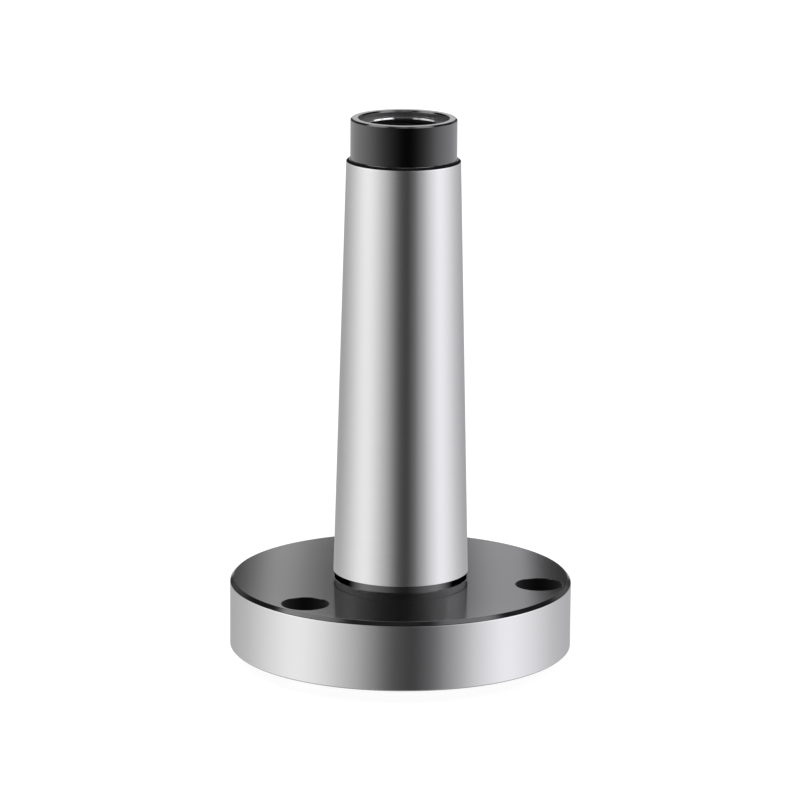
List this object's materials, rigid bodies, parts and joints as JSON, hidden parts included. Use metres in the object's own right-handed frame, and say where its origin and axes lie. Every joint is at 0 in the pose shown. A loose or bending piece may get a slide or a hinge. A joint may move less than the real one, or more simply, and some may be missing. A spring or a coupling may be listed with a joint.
{
  "type": "chuck adapter plate",
  "caption": "Turned steel adapter that carries a small lathe chuck on a taper shank: bolt flange with a register boss, ground shank and a drawbar thread in its end.",
  "frame": {"origin": "middle of the register boss's face, which the plate stands on", "axes": "+Z along the axis of turning, from the boss through the flange and up the shank; the nearest screw hole to +X lies 11.5 degrees round towards -Y"},
  "size_m": [0.08, 0.08, 0.1283],
  "materials": {
    "steel": "black oxide all over, with the shank's taper and the flange's rim ground bright"
  },
  "bodies": {
    "root": {"adapter_plate": "steel"}
  },
  "joints": []
}
